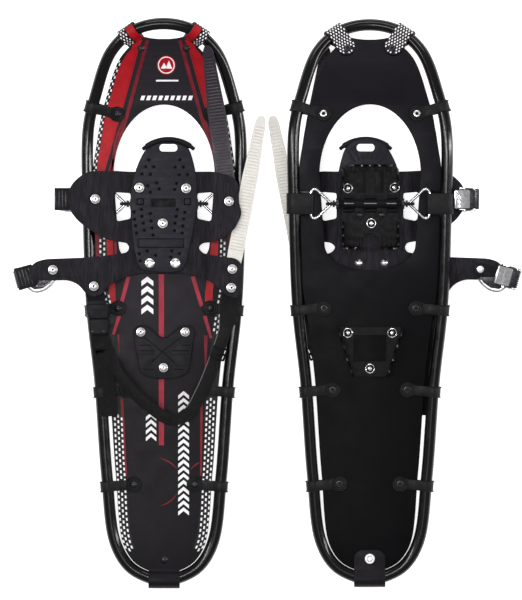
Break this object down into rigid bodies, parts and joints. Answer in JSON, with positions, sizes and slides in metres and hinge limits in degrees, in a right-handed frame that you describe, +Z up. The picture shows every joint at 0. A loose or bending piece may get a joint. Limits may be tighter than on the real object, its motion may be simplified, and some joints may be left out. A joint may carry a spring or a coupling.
{
  "type": "pair of snowshoes",
  "caption": "Pair of oval-tube snowshoes lying side by side, one deck up and one deck down, with pivoting strap bindings, ratchet buckles and crampons.",
  "frame": {"origin": "on the ground under the middle of the pair's bounding box", "axes": "+X from the deck-up shoe to the deck-down shoe, +Y towards the toes, +Z up from the ground"},
  "size_m": [0.689, 0.773, 0.0829],
  "materials": {
    "tube": "gloss black coat",
    "deck": "coated fabric, printed on its upper face",
    "urethane": "matt",
    "bright_steel": "bright zinc",
    "black_steel": "black coat, worn at the points",
    "harness_rubber": "matt, finely ribbed",
    "moulded_plastic": "satin",
    "toe_strap_plastic": "smoky, cross-ribbed",
    "instep_strap_plastic": "milky, cross-ribbed",
    "webbing": "woven"
  },
  "bodies": {
    "left_frame": {"left_frame_tube": "tube", "left_deck": "deck", "left_front_clip_left": "urethane", "left_front_clip_right": "urethane", "left_mid_clip_left": "urethane", "left_mid_clip_right": "urethane", "left_waist_clip_left": "urethane", "left_waist_clip_right": "urethane", "left_rear_clip_left": "urethane", "left_rear_clip_right": "urethane", "left_pivot_strap_left": "urethane", "left_pivot_strap_right": "urethane", "left_wire_link_left": "bright_steel", "left_wire_link_right": "bright_steel", "left_pivot_axle": "black_steel", "left_heel_plate": "moulded_plastic", "left_heel_crampon": "black_steel", "left_toe_buckle_base": "black_steel"},
    "left_binding": {"left_foot_plate": "moulded_plastic", "left_toe_crampon": "black_steel", "left_hinge_barrel": "black_steel", "left_harness": "harness_rubber", "left_instep_buckle_base": "black_steel", "left_instep_ladder_strap": "instep_strap_plastic"},
    "left_toe_lever": {"left_toe_buckle_lever": "bright_steel"},
    "left_instep_lever": {"left_instep_buckle_lever": "bright_steel"},
    "left_toe_strap": {"left_toe_ladder_strap": "toe_strap_plastic"},
    "left_heel_strap_loop": {"left_heel_strap": "webbing", "left_clasp_female": "moulded_plastic", "left_clasp_male": "moulded_plastic"},
    "right_frame": {"right_frame_tube": "tube", "right_deck": "deck", "right_front_clip_left": "urethane", "right_front_clip_right": "urethane", "right_mid_clip_left": "urethane", "right_mid_clip_right": "urethane", "right_waist_clip_left": "urethane", "right_waist_clip_right": "urethane", "right_rear_clip_left": "urethane", "right_rear_clip_right": "urethane", "right_pivot_strap_left": "urethane", "right_pivot_strap_right": "urethane", "right_wire_link_left": "bright_steel", "right_wire_link_right": "bright_steel", "right_pivot_axle": "black_steel", "right_heel_plate": "moulded_plastic", "right_heel_crampon": "black_steel", "right_toe_buckle_base": "black_steel"},
    "right_binding": {"right_foot_plate": "moulded_plastic", "right_toe_crampon": "black_steel", "right_hinge_barrel": "black_steel", "right_harness": "harness_rubber", "right_instep_buckle_base": "black_steel", "right_instep_ladder_strap": "instep_strap_plastic"},
    "right_toe_lever": {"right_toe_buckle_lever": "bright_steel"},
    "right_instep_lever": {"right_instep_buckle_lever": "bright_steel"},
    "right_toe_strap": {"right_toe_ladder_strap": "toe_strap_plastic"},
    "right_heel_strap_loop": {"right_heel_strap": "webbing", "right_clasp_female": "moulded_plastic", "right_clasp_male": "moulded_plastic"}
  },
  "joints": [
    {"name": "left_binding_pivot", "type": "hinge", "parent": "left_frame", "child": "left_binding", "pos_m": [-0.1385, 0.13645, 0.024], "axis": [-1, 0, 0], "range_deg": [0, 60], "deforming": ["left_harness", "left_instep_ladder_strap"]},
    {"name": "left_toe_lever_pin", "type": "hinge", "parent": "left_frame", "child": "left_toe_lever", "pos_m": [-0.2785, 0.14245, 0.0338], "axis": [0, 1, 0], "range_deg": [0, 50], "stiffness_Nm_per_rad": 0.05, "springref_deg": -11.46},
    {"name": "left_instep_lever_pin", "type": "hinge", "parent": "left_binding", "child": "left_instep_lever", "pos_m": [-0.33386, 0.03503, 0.0338], "axis": [-0.2588, 0.9659, 0], "range_deg": [0, 50], "stiffness_Nm_per_rad": 0.05, "springref_deg": -11.46},
    {"name": "left_toe_strap_rivet", "type": "hinge", "parent": "left_frame", "child": "left_toe_strap", "pos_m": [-0.051, 0.13945, 0.0425], "axis": [0, 0, 1], "range_deg": [-38, 5]},
    {"name": "left_heel_strap_fold", "type": "hinge", "parent": "left_binding", "child": "left_heel_strap_loop", "pos_m": [-0.1385, 0.00745, 0.0417], "axis": [-1, 0, 0], "range_deg": [0, 80]},
    {"name": "right_shoe_lift", "type": "slide", "parent": "left_frame", "child": "right_frame", "axis": [0, 0, 1], "range_m": [0, 0.15]},
    {"name": "right_binding_pivot", "type": "hinge", "parent": "right_frame", "child": "right_binding", "pos_m": [0.1385, 0.13613, 0.04588], "axis": [1, 0, 0], "range_deg": [0, 60], "deforming": ["right_harness", "right_instep_ladder_strap"]},
    {"name": "right_toe_lever_pin", "type": "hinge", "parent": "right_frame", "child": "right_toe_lever", "pos_m": [0.2785, 0.14265, 0.03642], "axis": [0, 0.9985, 0.0547], "range_deg": [0, 50], "stiffness_Nm_per_rad": 0.05, "springref_deg": -11.46},
    {"name": "right_instep_lever_pin", "type": "hinge", "parent": "right_binding", "child": "right_instep_lever", "pos_m": [0.33386, 0.03539, 0.03055], "axis": [0.2588, 0.9645, 0.0528], "range_deg": [0, 50], "stiffness_Nm_per_rad": 0.05, "springref_deg": -11.46},
    {"name": "right_toe_strap_rivet", "type": "hinge", "parent": "right_frame", "child": "right_toe_strap", "pos_m": [0.051, 0.14013, 0.02757], "axis": [0, 0.0547, -0.9985], "range_deg": [-38, 5]},
    {"name": "right_heel_strap_fold", "type": "hinge", "parent": "right_binding", "child": "right_heel_strap_loop", "pos_m": [0.1385, 0.00829, 0.02115], "axis": [1, 0, 0], "range_deg": [0, 80]}
  ]
}
